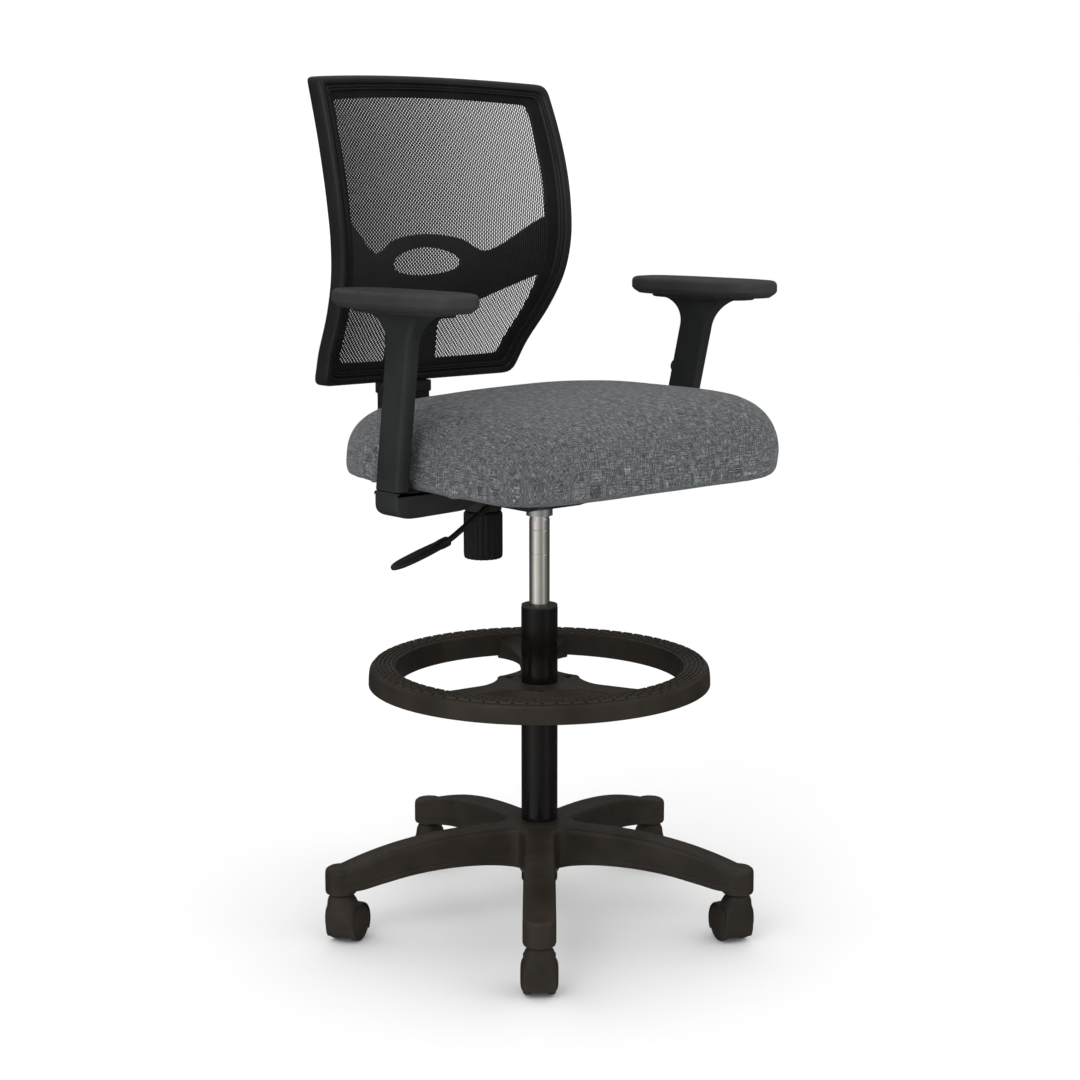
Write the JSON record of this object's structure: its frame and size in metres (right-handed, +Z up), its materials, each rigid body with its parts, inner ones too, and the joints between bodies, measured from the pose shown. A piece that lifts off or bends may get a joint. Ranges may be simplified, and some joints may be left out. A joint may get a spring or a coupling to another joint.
{
  "type": "drafting chair",
  "caption": "Tall swivel drafting chair: five-leg castor base, adjustable foot ring, gas lift, tilting upholstered seat, height-adjustable arms and mesh back.",
  "frame": {"origin": "on the lift column's axis at floor level, midway under the chair", "axes": "+Z up, the user faces -Y, +X towards the user's left"},
  "size_m": [0.6177, 0.5855, 1.165],
  "materials": {
    "base_nylon": "glass-filled nylon, fine moulded grain, warm brown-black",
    "steel": "zinc-plated steel",
    "tube_black": "black paint, semi-gloss",
    "bush_plastic": "plain moulded acetal",
    "chrome": "polished hard chrome",
    "control_black": "moulded black nylon",
    "arm_plastic": "satin charcoal, fine moulded grain",
    "arm_pad": "soft self-skinned polyurethane, satin",
    "plywood": "bare beech plywood",
    "seat_fabric": "grey melange plain weave with slubs, over foam",
    "back_plastic": "satin black, moulded",
    "back_mesh": "black polyester open mesh"
  },
  "bodies": {
    "base": {"star_base": "base_nylon", "hub_sleeve": "steel", "column_tube": "tube_black", "guide_bush": "bush_plastic", "thrust_bearing": "steel", "castor_stems": "steel"},
    "castor_1": {"castor_hood_1": "base_nylon"},
    "wheels_1": {"castor_wheels_1": "base_nylon", "castor_axle_1": "steel"},
    "castor_2": {"castor_hood_2": "base_nylon"},
    "wheels_2": {"castor_wheels_2": "base_nylon", "castor_axle_2": "steel"},
    "castor_3": {"castor_hood_3": "base_nylon"},
    "wheels_3": {"castor_wheels_3": "base_nylon", "castor_axle_3": "steel"},
    "castor_4": {"castor_hood_4": "base_nylon"},
    "wheels_4": {"castor_wheels_4": "base_nylon", "castor_axle_4": "steel"},
    "castor_5": {"castor_hood_5": "base_nylon"},
    "wheels_5": {"castor_wheels_5": "base_nylon", "castor_axle_5": "steel"},
    "ring": {"foot_ring": "base_nylon", "ring_collet": "bush_plastic"},
    "clamp": {"clamp_screw": "steel", "clamp_knob": "control_black"},
    "rod": {"piston_rod": "steel", "retaining_clip": "steel"},
    "mechanism": {"lift_cylinder": "chrome", "tilt_housing": "tube_black", "taper_socket": "steel", "pivot_shaft": "steel", "tilt_spring": "steel", "spring_retainer": "steel", "lever_bush": "bush_plastic"},
    "release": {"release_pin": "steel"},
    "lever": {"lever_rod": "tube_black", "lever_paddle": "control_black"},
    "tension": {"tension_bolt": "steel", "tension_knob": "control_black"},
    "seat": {"seat_plate": "tube_black", "seat_pan": "plywood", "insert_nuts": "steel", "seat_cushion": "seat_fabric", "plate_bolts": "steel", "arm_bracket_right": "arm_plastic", "arm_bracket_left": "arm_plastic", "arm_bolts": "steel", "back_bar": "tube_black", "bar_bolts": "steel", "back_screws": "steel", "bar_cover": "control_black", "back_frame": "back_plastic", "mesh_carrier": "back_plastic", "mesh_panel": "back_mesh"},
    "arm_right": {"arm_sleeve_right": "arm_plastic", "arm_pad_right": "arm_pad"},
    "arm_left": {"arm_sleeve_left": "arm_plastic", "arm_pad_left": "arm_pad"},
    "button_right": {"height_button_right": "control_black"},
    "button_left": {"height_button_left": "control_black"}
  },
  "joints": [
    {"name": "castor_swivel_1", "type": "hinge", "parent": "base", "child": "castor_1", "pos_m": [-0.18538, -0.2125, 0.062], "axis": [0, 0, 1], "continuous": true},
    {"name": "wheel_spin_1", "type": "hinge", "parent": "castor_1", "child": "wheels_1", "pos_m": [-0.17223, -0.19743, 0.025], "axis": [-0.7536, 0.6574, 0], "continuous": true},
    {"name": "castor_swivel_2", "type": "hinge", "parent": "base", "child": "castor_2", "pos_m": [0.14482, -0.24197, 0.062], "axis": [0, 0, 1], "continuous": true},
    {"name": "wheel_spin_2", "type": "hinge", "parent": "castor_2", "child": "wheels_2", "pos_m": [0.15202, -0.22332, 0.025], "axis": [-0.933, 0.36, 0], "continuous": true},
    {"name": "castor_swivel_3", "type": "hinge", "parent": "base", "child": "castor_3", "pos_m": [0.27488, 0.06296, 0.062], "axis": [0, 0, 1], "continuous": true},
    {"name": "wheel_spin_3", "type": "hinge", "parent": "castor_3", "child": "wheels_3", "pos_m": [0.28368, 0.08092, 0.025], "axis": [-0.898, 0.4399, 0], "continuous": true},
    {"name": "castor_swivel_4", "type": "hinge", "parent": "base", "child": "castor_4", "pos_m": [0.02507, 0.28088, 0.062], "axis": [0, 0, 1], "continuous": true},
    {"name": "wheel_spin_4", "type": "hinge", "parent": "castor_4", "child": "wheels_4", "pos_m": [0.04167, 0.29204, 0.025], "axis": [-0.5577, 0.83, 0], "continuous": true},
    {"name": "castor_swivel_5", "type": "hinge", "parent": "base", "child": "castor_5", "pos_m": [-0.25939, 0.11064, 0.062], "axis": [0, 0, 1], "continuous": true},
    {"name": "wheel_spin_5", "type": "hinge", "parent": "castor_5", "child": "wheels_5", "pos_m": [-0.24188, 0.1203, 0.025], "axis": [-0.4833, 0.8755, 0], "continuous": true},
    {"name": "ring_height", "type": "slide", "parent": "base", "child": "ring", "axis": [0, 0, 1], "range_m": [-0.1, 0.07]},
    {"name": "clamp_turn", "type": "hinge", "parent": "ring", "child": "clamp", "pos_m": [0.0495, -0.00705, 0.318], "axis": [0.99, -0.1409, 0], "range_deg": [0, 720]},
    {"name": "seat_swivel", "type": "hinge", "parent": "base", "child": "rod", "pos_m": [0, 0, 0.07], "axis": [0, 0, 1], "continuous": true},
    {"name": "seat_height", "type": "slide", "parent": "rod", "child": "mechanism", "axis": [0, 0, 1], "range_m": [-0.11, 0.09]},
    {"name": "lever_lift", "type": "hinge", "parent": "mechanism", "child": "lever", "pos_m": [-0.036, 0, 0.6084], "axis": [0, 1, 0], "range_deg": [0, 5], "stiffness_Nm_per_rad": 3, "springref_deg": -8.59},
    {"name": "pin_press", "type": "slide", "parent": "mechanism", "child": "release", "axis": [0, 0, -1], "range_m": [0, 0.0035]},
    {"name": "tension_turn", "type": "hinge", "parent": "mechanism", "child": "tension", "pos_m": [0, 0.12, 0.534], "axis": [0, 0, 1], "range_deg": [-720, 720]},
    {"name": "seat_tilt", "type": "hinge", "parent": "mechanism", "child": "seat", "pos_m": [0, -0.075, 0.615], "axis": [-1, 0, 0], "range_deg": [0, 10], "stiffness_Nm_per_rad": 160, "springref_deg": -20.05, "deforming": ["tilt_spring"]},
    {"name": "arm_height_right", "type": "slide", "parent": "seat", "child": "arm_right", "axis": [-0.0479, -0.1959, 0.9794], "range_m": [0, 0.07]},
    {"name": "button_press_right", "type": "slide", "parent": "arm_right", "child": "button_right", "axis": [0.0096, -0.9806, -0.1957], "range_m": [0, 0.003], "stiffness_N_per_m": 600, "springref_m": -0.003},
    {"name": "arm_height_left", "type": "slide", "parent": "seat", "child": "arm_left", "axis": [0.0479, -0.1959, 0.9794], "range_m": [0, 0.07]},
    {"name": "button_press_left", "type": "slide", "parent": "arm_left", "child": "button_left", "axis": [-0.0096, -0.9806, -0.1957], "range_m": [0, 0.003], "stiffness_N_per_m": 600, "springref_m": -0.003}
  ],
  "couplings": [
    {"joint": "pin_press", "follows": "lever_lift", "m_per_rad": 0.036}
  ]
}
